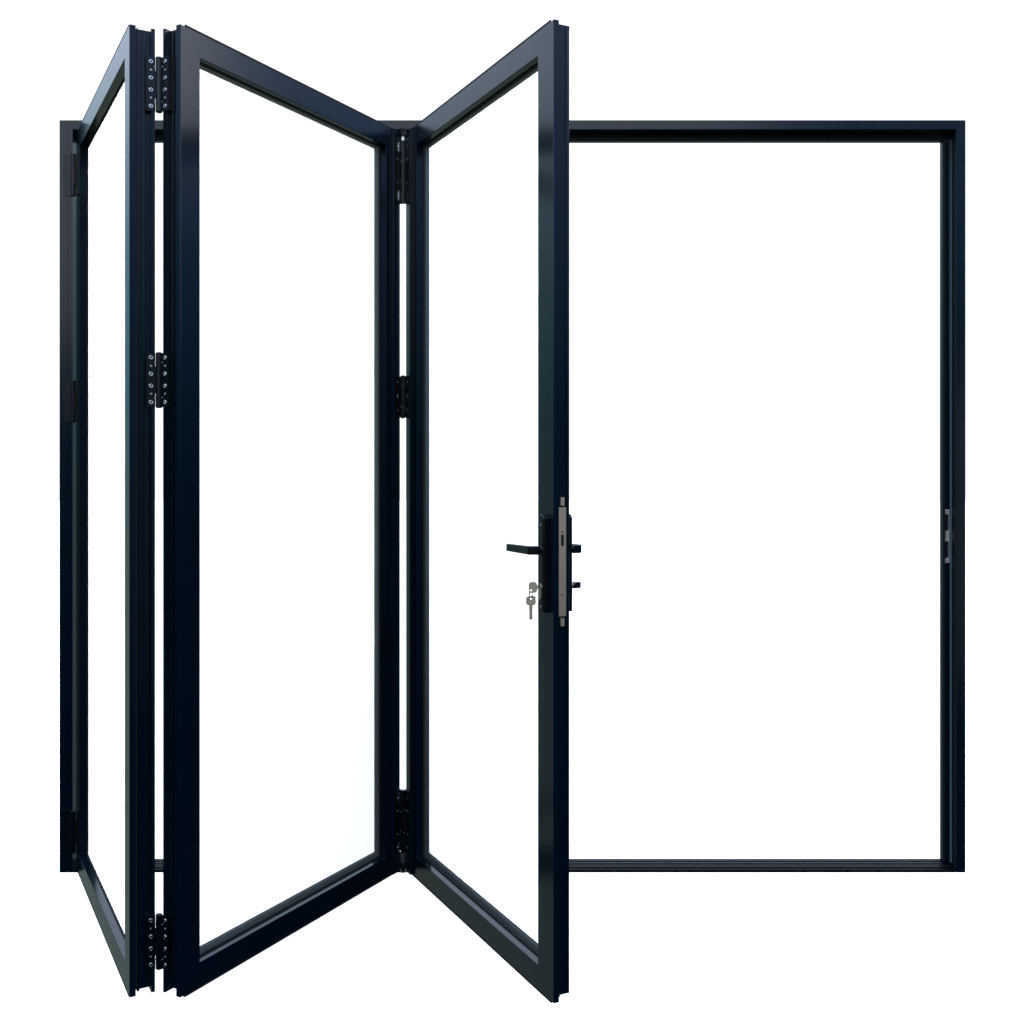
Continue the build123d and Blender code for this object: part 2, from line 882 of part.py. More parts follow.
def strike_plate():
    """Keep in the corner of rebate wall and stop, with two tabs and a box on the stop."""
    level = (spindle_level + cylinder_level) / 2 + latch_slot_rise
    low = level - strike_height / 2
    high = level + strike_height / 2
    face = wall - strike_thickness
    keep = block((face, stop_front - strike_width, low), (wall, stop_front, high))
    half_box = strike_box_height / 2
    for bottom, top, thickness in (
        (low, low + strike_tab_height, strike_tab_thickness),
        (level - half_box, level + half_box, strike_box_thickness),
        (high - strike_tab_height, high, strike_tab_thickness),
    ):
        keep = keep + block(
            (face - strike_tab_reach, stop_front - thickness, bottom),
            (face, stop_front, top),
        )
    return keep


def hinge_nodes(pivots, places):
    """Half hinges of the three fold lines and their pins."""
    plain = hinge_levels(hinge_height, middle_hinge_level, hinge_top_inset, hinge_bottom_inset)
    carried = hinge_levels(
        carrier_hinge_height,
        carrier_middle_level,
        carrier_hinge_top_inset,
        carrier_hinge_bottom_inset,
    )
    leaf_axis = (jamb_axis_inset, -jamb_axis_offset)
    jamb_plates, jamb_web = jamb_half(-1, pivots[0], front)
    leaf_plates, leaf_web = jamb_half(1, leaf_axis, 0)
    leaf_row = hinge_row(leaf_axis, leaf_plates, leaf_web, plain, True)
    made = {
        "jamb_hinge_plates": hinge_row(pivots[0], jamb_plates, jamb_web, plain, False),
        "leaf_1_jamb_hinge_plates": placed(places[0], leaf_row),
    }
    for name, leaf, half, levels, in_middle in (
        ("leaf_1_fold_hinge_plates", 0, edge_half(False), plain, True),
        ("leaf_2_fold_hinge_plates", 1, edge_half(True), plain, False),
        ("leaf_2_carrier_hinge_plates", 1, face_half(False), carried, True),
        ("leaf_3_carrier_hinge_plates", 2, face_half(True), carried, False),
    ):
        made[name] = placed(places[leaf], hinge_row(*half, levels, in_middle))
    made["hinge_pins"] = hinge_pins(pivots, [plain, plain, carried])
    return made


def leaf_nodes(number, place, first_face, last_face, last_stile):
    """Stiles, rails, pane and beads of one leaf."""
    label = f"leaf_{number}"
    return {
        f"{label}_left_stile": place * stile(first_face, True),
        f"{label}_right_stile": place * last_stile,
        f"{label}_rails": placed(place, rails(first_face, last_face)),
        f"{label}_glass": place * pane(first_face, last_face),
        f"{label}_beads": place * bead_ring(first_face, last_face),
    }


def lock_nodes(place):
    """Lock, handles and keys on the lead leaf."""
    local = {
        "outside_backplate": backplate(-backplate_thickness),
        "inside_backplate": backplate(leaf_thickness),
        "outside_lever": lever(0, -1),
        "inside_lever": lever(leaf_thickness, 1),
        "lever_spindle": spindle(),
        "lock_cylinder": lock_cylinder(),
        "thumb_turn": thumb_turn(),
        "lock_faceplate": lock_faceplate(),
        "lock_bolts": lock_bolts(),
        "lock_rods": lock_rods(),
        "key": key(),
        "key_ring": key_ring(),
        "spare_key": spare_key(),
    }
    return {name: placed(place, shape) for name, shape in local.items()}


def door():
    """Every piece of the door, by name."""
    pivots, places = fold()
    made = {
        "left_jamb": mitred_jamb(-1),
        "right_jamb": mitred_jamb(1),
        "head": head(),
        "sill": sill(),
        "hinge_filler": filler_strip(),
        "strike_plate": strike_plate(),
        "top_carrier": top_carrier(pivots[2]),
        "bottom_guide": bottom_guide(pivots[2]),
    }
    made.update(leaf_nodes(1, places[0], stile_face, stile_face, stile(stile_face, False)))
    made.update(leaf_nodes(2, places[1], stile_face, stile_face, stile(stile_face, False)))
    made.update(leaf_nodes(3, places[2], stile_face, lock_stile_face, lock_stile()))
    made["leaf_1_adapter"] = places[0] * adapter(False, True)
    made["leaf_2_adapters"] = Compound(
        children=[places[1] * adapter(True, True), places[1] * adapter(False, False)]
    )
    made["leaf_3_adapter"] = places[2] * adapter(True, False)
    made.update(hinge_nodes(pivots, places))
    made.update(lock_nodes(places[2]))
    return made


os.makedirs("parts", exist_ok=True)
for node, shape in door().items():
    export_step(shape, f"parts/{node}.step")
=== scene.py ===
import json
import math

import bmesh
import bpy
from mathutils import Matrix, Vector


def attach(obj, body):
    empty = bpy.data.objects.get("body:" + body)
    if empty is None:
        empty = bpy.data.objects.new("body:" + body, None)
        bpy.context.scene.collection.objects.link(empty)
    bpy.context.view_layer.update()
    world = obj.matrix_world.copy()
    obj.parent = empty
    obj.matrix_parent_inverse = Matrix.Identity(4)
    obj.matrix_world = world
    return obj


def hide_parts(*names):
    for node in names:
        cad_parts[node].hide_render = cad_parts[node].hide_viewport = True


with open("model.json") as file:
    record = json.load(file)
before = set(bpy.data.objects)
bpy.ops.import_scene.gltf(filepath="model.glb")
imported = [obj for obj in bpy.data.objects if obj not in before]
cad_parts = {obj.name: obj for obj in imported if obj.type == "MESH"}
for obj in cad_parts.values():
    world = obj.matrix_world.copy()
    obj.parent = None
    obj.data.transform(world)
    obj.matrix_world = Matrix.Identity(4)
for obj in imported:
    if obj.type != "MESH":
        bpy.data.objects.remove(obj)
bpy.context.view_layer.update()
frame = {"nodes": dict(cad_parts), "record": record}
nodes = frame["nodes"]
print("frame loaded:", len(nodes), "nodes")


# small helpers

def linear(hexColour):
    channels = [int(hexColour[i:i + 2], 16) / 255 for i in (1, 3, 5)]
    return [c / 12.92 if c <= 0.04045 else ((c + 0.055) / 1.055) ** 2.4 for c in channels] + [1]


def addNode(tree, kind, settings=None, links=None):
    node = tree.nodes.new(kind)
    for key, value in (settings or {}).items():
        if isinstance(key, str) and hasattr(node, key):
            setattr(node, key, value)
        else:
            node.inputs[key].default_value = value
    for key, source in (links or {}).items():
        tree.links.new(source, node.inputs[key])
    return node


def newMaterial(name, settings):
    material = bpy.data.materials.new(name)
    material.use_nodes = True
    shader = material.node_tree.nodes["Principled BSDF"]
    for key, value in settings.items():
        shader.inputs[key].default_value = value
    return material, material.node_tree, shader


# the fold, as the CAD part sets it, in millimetres
foldPlan = {
    "leafWidth": 894.0, "leafBottom": 11.0, "leafTop": 2260.0,
    "hingePivot": (-1339.0, -45.0), "hingeAxis": (2.0, -10.0), "firstAngle": -61.6,
    "innerAxis": (-3.0, 66.0), "outerAxis": (-3.0, -17.0), "trackLine": -52.0, "leadAngle": -64.2,
}


def leafMatrix(pivot, axis, degrees):
    turn = Matrix.Rotation(math.radians(degrees), 4, "Z")
    return Matrix.Translation((pivot[0], pivot[1], 0)) @ turn @ Matrix.Translation((-axis[0], -axis[1], 0))


def foldLeaves(plan):
    first = leafMatrix(plan["hingePivot"], plan["hingeAxis"], plan["firstAngle"])
    axis = plan["innerAxis"]
    foldPivot = first @ Vector((plan["leafWidth"] - axis[0], axis[1], 0))
    span = Vector((plan["leafWidth"] - 2 * axis[0], plan["outerAxis"][1] - axis[1]))
    rise = plan["trackLine"] - foldPivot.y
    run = math.sqrt(span.length_squared - rise ** 2)
    degrees = math.degrees(math.atan2(rise, run) - math.atan2(span.y, span.x))
    second = leafMatrix(foldPivot, axis, degrees)
    carrier = (foldPivot.x + run, plan["trackLine"])
    lead = leafMatrix(carrier, plan["outerAxis"], plan["leadAngle"])
    return [first, second, lead], [plan["hingePivot"], tuple(foldPivot.to_2d()), carrier]


leafPlaces, pivots = foldLeaves(foldPlan)
print("fold set:", [[round(c) for c in p] for p in pivots])
toMetres = Matrix.Scale(0.001, 4)
inPlace = Matrix.Identity(4)


# mesh pieces, drawn in millimetres and set down in metres
pieceLook = {
    "mergeMm": 0.001, "metalSlots": ("zinc_steel", "lock_nickel", "key_nickel"),
    "edgeSegments": 2, "mostRound": 0.45,  # rounding, at most this share of the thinnest side
    "sharpAngle": 1.0,  # in radians
}


def finishPiece(mesh, name, material, slot, place=inPlace):
    bmesh.ops.remove_doubles(mesh, verts=mesh.verts, dist=pieceLook["mergeMm"])
    bmesh.ops.recalc_face_normals(mesh, faces=mesh.faces)
    bmesh.ops.transform(mesh, matrix=toMetres @ place, verts=mesh.verts)
    data = bpy.data.meshes.new(name)
    mesh.to_mesh(data)
    mesh.free()
    data.materials.append(material)
    piece = bpy.data.objects.new(name, data)
    bpy.context.scene.collection.objects.link(piece)
    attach(piece, "door")
    if slot in pieceLook["metalSlots"]:
        litGroups["metals"].objects.link(piece)
    return piece


def addBar(mesh, low, high, edge):
    # a bar between two corners, with its edges rounded
    size = [h - l for l, h in zip(low, high)]
    middle = [(l + h) / 2 for l, h in zip(low, high)]
    place = Matrix.Translation(middle) @ Matrix.Diagonal((*size, 1))
    made = bmesh.ops.create_cube(mesh, size=1, matrix=place)
    edges = list({e for v in made["verts"] for e in v.link_edges})
    bmesh.ops.bevel(mesh, geom=edges, offset=min(edge, pieceLook["mostRound"] * min(size)),
                    segments=pieceLook["edgeSegments"], profile=0.5, material=-1, affect="EDGES")


def addRing(mesh, low, high, width, near, far, edge):
    # picture-frame strip in the leaf's own plane, between two depths
    middle = ((low[0] + high[0]) / 2, near, (low[1] + high[1]) / 2)
    place = (Matrix.Translation(middle) @ Matrix.Rotation(math.pi / 2, 4, "X")
             @ Matrix.Diagonal((high[0] - low[0], high[1] - low[1], 1, 1)))
    made = bmesh.ops.create_grid(mesh, x_segments=1, y_segments=1, size=0.5, matrix=place)
    face = made["verts"][0].link_faces[0]
    ring = bmesh.ops.inset_region(mesh, faces=[face], thickness=width, use_boundary=True,
                                  use_even_offset=True)["faces"]
    bmesh.ops.delete(mesh, geom=[face], context="FACES")
    raised = bmesh.ops.extrude_face_region(mesh, geom=ring)["geom"]
    points = [g for g in raised if isinstance(g, bmesh.types.BMVert)]
    bmesh.ops.translate(mesh, vec=(0, far - near, 0), verts=points)
    rim = [e for e in mesh.edges if len(e.link_faces) == 2 and e.calc_face_angle(0) > pieceLook["sharpAngle"]
           and all(v in points for v in e.verts)]
    bmesh.ops.bevel(mesh, geom=rim, offset=edge, segments=pieceLook["edgeSegments"], profile=0.5, material=-1,
                    affect="EDGES")


def addTurned(mesh, outline, place, steps=24):
    # outline of (radius, height) pairs, spun about the place's own z axis
    start = len(mesh.verts)
    points = [mesh.verts.new((r, 0, h)) for r, h in outline]
    edges = [mesh.edges.new(pair) for pair in zip(points, points[1:])]
    bmesh.ops.spin(mesh, geom=points + edges, cent=(0, 0, 0), axis=(0, 0, 1), angle=math.tau, steps=steps,
                   use_merge=True)
    mesh.verts.ensure_lookup_table()
    bmesh.ops.transform(mesh, matrix=place, verts=mesh.verts[start:])


def facing(point, direction):
    # a place whose own z axis looks along the direction
    return Matrix.Translation(point) @ Vector(direction).to_track_quat("Z", "Y").to_matrix().to_4x4()


# materials

coatLook = {
    "colour": "#01131F", "pale": "#031B29", "roughness": 0.19, "sheen": 0.5, "cloudMm": 166.667,
    "peelMm": 1.6, "peelDepthMm": 0.03, "peelStrength": 0.25,
}


def powderCoat(name, look):
    # polyester powder coat on aluminium: satin, even, with the faint orange peel of the cured film
    material, tree, shader = newMaterial(name, {
        "Roughness": look["roughness"], "IOR": 1.5, "Specular IOR Level": look["sheen"]})
    coords = addNode(tree, "ShaderNodeTexCoord")
    peel = addNode(tree, "ShaderNodeTexNoise", {"Scale": 1000 / look["peelMm"], "Detail": 1.5},
                   {"Vector": coords.outputs["Object"]})
    cloud = addNode(tree, "ShaderNodeTexNoise", {"Scale": 1000 / look["cloudMm"], "Detail": 3},
                    {"Vector": coords.outputs["Object"]})
    colours = {6: linear(look["colour"]), 7: linear(look["pale"])}
    tint = addNode(tree, "ShaderNodeMix", {"data_type": "RGBA", **colours}, {0: cloud.outputs["Fac"]})
    tree.links.new(tint.outputs[2], shader.inputs["Base Color"])
    bump = addNode(tree, "ShaderNodeBump",
                   {"Strength": look["peelStrength"], "Distance": look["peelDepthMm"] / 1000},
                   {"Height": peel.outputs["Fac"]})
    tree.links.new(bump.outputs["Normal"], shader.inputs["Normal"])
    return material


frameCoat = powderCoat("satinPowderCoat", coatLook)
hingeCoat = powderCoat("blackHingeCoat", dict(coatLook, colour="#04090E", pale="#070E15", roughness=0.3))
handleCoat = powderCoat("blackHandleCoat", dict(coatLook, colour="#04080B", pale="#080C10", roughness=0.3))
sillCoat = powderCoat("scuffedSillCoat",
                      dict(coatLook, colour="#050A0D", pale="#0A1114", roughness=0.5, sheen=0.14))

# colour, roughness and grain width in millimetres
metalLook = {
    "zincPlatedSteel": ("#C3C6C6", 0.32, 0.5),
    "satinNickel": ("#B9B09E", 0.36, 0.4),
    "keyNickel": ("#CFC9B8", 0.28, 0.4),
    "brightSteel": ("#E2E4E4", 0.24, 0.5),
    "spacerAluminium": ("#5C6864", 0.42, 0.6),
    "castZinc": ("#D6D3C8", 0.55, 0.5),
    "millAluminium": ("#A9A8A6", 0.5, 0.6),
}
metalGrain = {"stretch": (1, 1, 0.04), "smoother": 0.06, "rougher": 0.1, "depthMm": 0.02, "strength": 0.2}


def brushedMetal(name, colour, roughness, grainMm):
    # plated or drawn metal: bright, with a fine grain along its length
    material, tree, shader = newMaterial(name, {"Metallic": 1.0, "Base Color": linear(colour)})
    coords = addNode(tree, "ShaderNodeTexCoord")
    stretch = addNode(tree, "ShaderNodeMapping", {"Scale": metalGrain["stretch"]},
                      {"Vector": coords.outputs["Object"]})
    grain = addNode(tree, "ShaderNodeTexNoise", {"Scale": 1000 / grainMm, "Detail": 2},
                    {"Vector": stretch.outputs["Vector"]})
    gloss = addNode(tree, "ShaderNodeMapRange",
                    {3: roughness - metalGrain["smoother"], 4: roughness + metalGrain["rougher"]},
                    {"Value": grain.outputs["Fac"]})
    tree.links.new(gloss.outputs["Result"], shader.inputs["Roughness"])
    bump = addNode(tree, "ShaderNodeBump",
                   {"Strength": metalGrain["strength"], "Distance": metalGrain["depthMm"] / 1000},
                   {"Height": grain.outputs["Fac"]})
    tree.links.new(bump.outputs["Normal"], shader.inputs["Normal"])
    return material


metals = {name: brushedMetal(name, *look) for name, look in metalLook.items()}

glassLook = {
    "clear": {"colour": "#E6F0EC", "veil": 0.08, "dustMm": 300, "gloss": (0.02, 0.12)},
    "satin": {"colour": "#F7F9F9", "pale": "#FFFFFF", "clotMm": 160, "roughness": 0.55},
}


def clearGlass(name, look):
    # float glass: clear, a little green, with a breath of dust that dulls its gloss in places
    material, tree, shader = newMaterial(
        name, {"Base Color": linear(look["colour"]), "IOR": 1.5, "Alpha": look["veil"]})
    coords = addNode(tree, "ShaderNodeTexCoord")
    dust = addNode(tree, "ShaderNodeTexNoise", {"Scale": 1000 / look["dustMm"], "Detail": 4},
                   {"Vector": coords.outputs["Object"]})
    clean, dusty = look["gloss"]
    gloss = addNode(tree, "ShaderNodeMapRange", {3: clean, 4: dusty}, {"Value": dust.outputs["Fac"]})
    tree.links.new(gloss.outputs["Result"], shader.inputs["Roughness"])
    return material


def satinGlass(name, look):
    # acid-etched sheet: an even milky white that hides what stands behind it
    material, tree, shader = newMaterial(name, {"Roughness": look["roughness"], "IOR": 1.5})
    coords = addNode(tree, "ShaderNodeTexCoord")
    haze = addNode(tree, "ShaderNodeTexNoise", {"Scale": 1000 / look["clotMm"], "Detail": 2},
                   {"Vector": coords.outputs["Object"]})
    colours = {6: linear(look["colour"]), 7: linear(look["pale"])}
    tint = addNode(tree, "ShaderNodeMix", {"data_type": "RGBA", **colours}, {0: haze.outputs["Fac"]})
    tree.links.new(tint.outputs[2], shader.inputs["Base Color"])
    return material


clearSheet = clearGlass("clearFloatGlass", glassLook["clear"])
etchedSheet = satinGlass("satinEtchedGlass", glassLook["satin"])

# colour, bloom, roughness and width of the patches in millimetres
mattLook = {
    "sealRubber": ("#08090A", "#141617", 0.7, 11),
    "blackNylonAndPaintedShade": ("#050506", "#0C0D0E", 0.5, 4),
    "greyPileStrip": ("#3E5058", "#66787F", 0.9, 2),
}


def mattFinish(name, colour, bloom, roughness, patchMm):
    # moulded rubber and nylon, and woven pile: matt, with a paler bloom in patches
    material, tree, shader = newMaterial(name, {"Roughness": roughness, "IOR": 1.5})
    coords = addNode(tree, "ShaderNodeTexCoord")
    patches = addNode(tree, "ShaderNodeTexNoise", {"Scale": 1000 / patchMm, "Detail": 4},
                      {"Vector": coords.outputs["Object"]})
    tint = addNode(tree, "ShaderNodeMix", {"data_type": "RGBA", 6: linear(colour), 7: linear(bloom)},
                   {0: patches.outputs["Fac"]})
    tree.links.new(tint.outputs[2], shader.inputs["Base Color"])
    return material


# black nylon is the real sleeves' finish and also the painted shade in the screw sockets and over the latch
# slot
sealRubber, blackNylonAndPaintedShade, greyPile = [mattFinish(name, *look) for name, look in mattLook.items()]

finishOf = {
    "powder_coat": frameCoat, "pane_glass": clearSheet, "hinge_black": hingeCoat,
    "zinc_steel": metals["zincPlatedSteel"], "lock_nickel": metals["satinNickel"],
    "key_nickel": metals["keyNickel"], "handle_black": handleCoat,
}
ownFinish = {"sill": sillCoat, "strike_plate": metals["castZinc"]}
litGroups = {"panes": bpy.data.collections.new("panes"), "metals": bpy.data.collections.new("metals")}
for part in frame["record"]["subparts"]:
    piece = nodes[part["node"]]
    piece.data.materials.clear()
    piece.data.materials.append(ownFinish.get(part["node"], finishOf[part["material_slot"]]))
    if part["material_slot"] in pieceLook["metalSlots"]:
        litGroups["metals"].objects.link(piece)
print("CAD nodes dressed")


# glazing: the two sheets of each sealed unit, the spacer bar between them and the gaskets on both sides
glazing = {
    "stileFaces": [(62.0, 62.0), (62.0, 62.0), (62.0, 75.0)], "railFace": 58.0, "sheetGrow": 9.0,
    "outerSheet": (25.02, 29.0), "innerSheet": (41.2, 43.0), "edge": 0.5,
    "outerGasket": {"grow": 0.0, "width": 3.0, "near": 20.5, "far": 24.9},
    "spacer": {"grow": 6.0, "width": 10.0, "near": 29.1, "far": 41.1,
               "footRise": 9.0, "footSeal": 12.0, "footGap": 0.05, "footEdge": 0.4},
    "innerGasket": {"grow": -2.5, "width": 2.5, "near": 43.05, "far": 45.0},
}


def sightline(index, grow):
    first, last = glazing["stileFaces"][index]
    rail = glazing["railFace"]
    low = (first - grow, foldPlan["leafBottom"] + rail - grow)
    high = (foldPlan["leafWidth"] - last + grow, foldPlan["leafTop"] - rail + grow)
    return low, high


def leafPart(index, part):
    return f"leaf{index + 1}{part[0].upper()}{part[1:]}"


def addPane(index):
    low, high = sightline(index, glazing["sheetGrow"])
    etched = "outerSheet" if index == 0 else "innerSheet"
    for part in ("outerSheet", "innerSheet"):
        material = etchedSheet if part == etched else clearSheet
        near, far = glazing[part]
        mesh = bmesh.new()
        addBar(mesh, (low[0], near, low[1]), (high[0], far, high[1]), glazing["edge"])
        piece = finishPiece(mesh, leafPart(index, part), material, "pane_glass", leafPlaces[index])
        piece.visible_glossy = piece.visible_diffuse = False  # the panes throw no white back at the sashes
        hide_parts(f"leaf_{index + 1}_glass")
        if part == etched:
            litGroups["panes"].objects.link(piece)


def addFootBar(mesh, index, look, low, high):
    # the spacer stands taller at the foot of the pane, and its edge seal stands on it
    start, end = sightline(index, low - look["footSeal"])
    foot = foldPlan["leafBottom"] + glazing["railFace"]
    addBar(mesh, (start[0], look["near"], foot + low + look["footGap"]), (end[0], look["far"], foot + high),
           look["footEdge"])


def addGlazing(index):
    for part, material, slot in (("outerGasket", sealRubber, "powder_coat"),
                                 ("spacer", metals["spacerAluminium"], "zinc_steel"),
                                 ("innerGasket", sealRubber, "powder_coat")):
        look = glazing[part]
        mesh = bmesh.new()
        addRing(mesh, *sightline(index, look["grow"]), look["width"], look["near"], look["far"],
                glazing["edge"])
        if part == "spacer":
            addFootBar(mesh, index, look, look["width"] - look["grow"], look["footRise"])
        finishPiece(mesh, leafPart(index, part), material, slot, leafPlaces[index])
    mesh = bmesh.new()
    look = glazing["spacer"]
    addFootBar(mesh, index, look, look["footRise"], look["footSeal"])
    finishPiece(mesh, f"leaf{index + 1}EdgeSeal", sealRubber, "powder_coat", leafPlaces[index])


for index in range(3):
    addPane(index)
    addGlazing(index)
print("glazing done")


# seals along the top and foot of each leaf, as (near, far, low, high) in depth and height
leafSeals = {
    "ends": (14.0, 880.0), "edge": 0.7,
    "top": [(0.3, 1.9, 2259.0, 2265.0), (19.2, 21.0, 2256.0, 2262.5)],
    "foot": [(0.6, 6.4, 5.5, 12.0), (12.0, 13.6, 7.5, 12.0), (19.5, 25.0, 14.0, 21.0)],
}
# lips and gasket in the rebate of each upright edge, as (near, far, rise), clear of the lock on the last edge
edgeTrim = {
    "floor": 12.0, "span": (24.0, 2252.0), "edge": 0.6,
    "gasket": [(14.3, 18.6, 5.0)], "lips": [(22.0, 24.2, 3.2), (32.6, 35.6, 4.2)],
    "lockGasket": [(14.2, 16.0, 4.0)], "lockLips": [(16.4, 18.4, 3.4), (38.6, 41.0, 3.0)],
}


def addLeafSeals(index):
    mesh = bmesh.new()
    start, end = leafSeals["ends"]
    for near, far, low, high in leafSeals["top"] + leafSeals["foot"]:
        addBar(mesh, (start, near, low), (end, far, high), leafSeals["edge"])
    finishPiece(mesh, f"leaf{index + 1}Seals", sealRubber, "powder_coat", leafPlaces[index])


def addEdgeTrim(index):
    low, high = edgeTrim["span"]
    for part, material in (("gasket", sealRubber), ("lips", frameCoat)):
        mesh = bmesh.new()
        for atStart in (True, False):
            locked = index == 2 and not atStart
            key = "lock" + part.capitalize() if locked else part
            for near, far, rise in edgeTrim[key]:
                start, end = edgeTrim["floor"] - rise, edgeTrim["floor"]
                if not atStart:
                    start, end = foldPlan["leafWidth"] - end, foldPlan["leafWidth"] - start
                addBar(mesh, (start, near, low), (end, far, high), edgeTrim["edge"])
        finishPiece(mesh, f"leaf{index + 1}Edge{part.capitalize()}", material, "powder_coat",
                    leafPlaces[index])


for index in range(3):
    addLeafSeals(index)
    addEdgeTrim(index)
print("leaf seals done")


# hinge screws: a socket head of each kind and where the heads sit
screwLook = {
    "large": {"radius": 5.3, "socket": 2.4, "rise": 1.6},
    "small": {"radius": 2.6, "socket": 1.1, "rise": 0.9},
    "pin": {"radius": 1.9, "socket": 0.8, "rise": 0.8},
    "flush": {"radius": 4.2, "socket": 1.9, "rise": 0.5},
}
# one shape for all heads, in shares of the socket's radius, the head's radius and the rise
screwShape = {"lip": 0.88, "mouth": 1.2, "rim": [(0.84, 0.94), (0.97, 0.5), (1, 0)], "floor": 0.6, "sides": 6}
hingeRows = {
    "levels": {"plain": [128.0, 1440.0, 2130.0], "carried": [163.0, 1453.0, 2136.0]},
    "plainHalf": 63.0, "carriedHalf": [95.0, 63.0, 95.0],
    "foldScrews": {"faces": [(896.0, 1), (-2.0, -1)], "depth": 48.0, "large": (52.0, 14.0), "small": (32.5,),
                   "pinDepth": 57.0, "pin": (41.0,)},
}


def addScrew(heads, socketShades, kind, point, direction):
    look = screwLook[kind]
    r, s, h = look["radius"], look["socket"], look["rise"]
    place = facing(point, direction)
    rim = [(across * r, up * h) for across, up in screwShape["rim"]]
    addTurned(heads, [(s, 0), (s, screwShape["lip"] * h), (screwShape["mouth"] * s, h), *rim, (s, 0)], place)
    # the socket's floor is a black disk: painted shade for the dark inside the recess
    floor = screwShape["floor"] * h
    addTurned(socketShades, [(0, 0), (s, 0), (s, floor), (0, floor)], place, steps=screwShape["sides"])


def addScrewSet(name, screws, place, material=None):
    heads, socketShades = bmesh.new(), bmesh.new()
    for kind, point, direction in screws:
        addScrew(heads, socketShades, kind, point, direction)
    finishPiece(heads, name, material or metals["brightSteel"], "zinc_steel", place)
    # the black disks in the sockets are painted shade
    finishPiece(socketShades, name + "PaintedSocketShade", blackNylonAndPaintedShade, "hinge_black", place)


def foldScrews(edge, side):
    plan = hingeRows["foldScrews"]
    screws = []
    for level in hingeRows["levels"]["plain"]:
        for kind, depth in (("large", plan["depth"]), ("small", plan["depth"]), ("pin", plan["pinDepth"])):
            for offset in plan[kind]:
                for z in (level - offset, level + offset):
                    screws.append((kind, (edge, depth, z), (side, 0, 0)))
    return screws


for index, (face, side) in enumerate(hingeRows["foldScrews"]["faces"]):
    addScrewSet(f"leaf{index + 1}FoldScrews", foldScrews(face, side), leafPlaces[index])

carrierPlan = {
    "wingFace": -11.5, "webFace": -14.5, "wings": {1: 876.0, 2: 18.0}, "webs": {1: 890.6, 2: 3.4},
    "screwInset": (20.0, 60.0), "dots": {1: 29.3, 2: 34.7},
    "strip": {"from": 878.6, "to": 886.0, "low": 60.0, "high": 88.5, "thick": 2.4, "edge": 0.3},
}


def carrierScrews(index):
    wing, web = carrierPlan["wings"][index], carrierPlan["webs"][index]
    screws = []
    for level, half in zip(hingeRows["levels"]["carried"], hingeRows["carriedHalf"]):
        for inset in carrierPlan["screwInset"]:
            for z in (level - half + inset, level + half - inset):
                screws.append(("small", (wing, carrierPlan["wingFace"], z), (0, -1, 0)))
        for z in (level - carrierPlan["dots"][index], level + carrierPlan["dots"][index]):
            screws.append(("pin", (web, carrierPlan["webFace"], z), (0, -1, 0)))
    return screws


for index in (1, 2):
    addScrewSet(f"leaf{index + 1}CarrierScrews", carrierScrews(index), leafPlaces[index])


def addCarrierStrips(plan):
    # bright adjusting slides let into the long hinges
    mesh = bmesh.new()
    for level, half in zip(hingeRows["levels"]["carried"], hingeRows["carriedHalf"]):
        if half < plan["high"]:
            continue
        for low, high in ((plan["low"], plan["high"]), (-plan["high"], -plan["low"])):
            addBar(mesh, (plan["from"], carrierPlan["wingFace"] - plan["thick"], level + low),
                   (plan["to"], carrierPlan["wingFace"], level + high), plan["edge"])
    finishPiece(mesh, "carrierSlides", metals["brightSteel"], "zinc_steel", leafPlaces[1])


addCarrierStrips(carrierPlan["strip"])

sleevePlan = {
    "inner": 3.9, "outer": 7.4, "chamfer": 0.5, "spans": [(12.0, 36.5), (2243.0, 2260.5)],
    "armCap": [(4.2, 2261.6), (9.2, 2261.6), (9.7, 2262.1), (9.7, 2269.3), (9.05, 2269.3), (9.05, 2262.6),
               (4.2, 2262.6), (4.2, 2261.6)],
    "shield": {"half": 14.0, "near": 8.4, "far": 10.0, "inset": 1.0, "foot": (12.0, 66.5), "edge": 0.5},
}


def addCarrierSleeves(plan):
    # nylon sleeves on the bare ends of the pin, and a shield behind each barrel that closes the gap
    mesh = bmesh.new()
    x, y = pivots[2]
    a, b, c = plan["inner"], plan["outer"], plan["chamfer"]
    for low, high in plan["spans"]:
        outline = [(a, low), (b - c, low), (b, low + c), (b, high - c), (b - c, high), (a, high), (a, low)]
        addTurned(mesh, outline, Matrix.Translation((x, y, 0)))
    addTurned(mesh, plan["armCap"], Matrix.Translation((x, y, 0)))
    look = plan["shield"]
    spans = [(level - half + look["inset"], level + half - look["inset"])
             for level, half in zip(hingeRows["levels"]["carried"], hingeRows["carriedHalf"])]
    for low, high in spans + [look["foot"]]:
        addBar(mesh, (x - look["half"], y + look["near"], low), (x + look["half"], y + look["far"], high),
               look["edge"])
    finishPiece(mesh, "carrierSleeves", blackNylonAndPaintedShade, "hinge_black")


addCarrierSleeves(sleevePlan)

jambPlan = {"jambX": -1360.0, "jambFace": -37.5, "leafU": 23.0, "leafFace": -2.5, "offsets": (46.0, 16.0)}


def jambScrews(along, face):
    return [("small", (along, face, level + side * offset), (0, -1, 0))
            for level in hingeRows["levels"]["plain"] for offset in jambPlan["offsets"] for side in (-1, 1)]


addScrewSet("jambHingeScrews", jambScrews(jambPlan["jambX"], jambPlan["jambFace"]), inPlace, hingeCoat)
addScrewSet("leaf1JambScrews", jambScrews(jambPlan["leafU"], jambPlan["leafFace"]), leafPlaces[0], hingeCoat)

knuckleHighlightPlan = {"from": 896.0, "to": 896.6, "near": 59.4, "far": 60.8, "half": 31.0, "edge": 0.25}
capOutline = [(0, 2.6), (3.6, 2.4), (6.2, 1.5), (7.4, 0.2), (7.4, 0), (0, 0)]


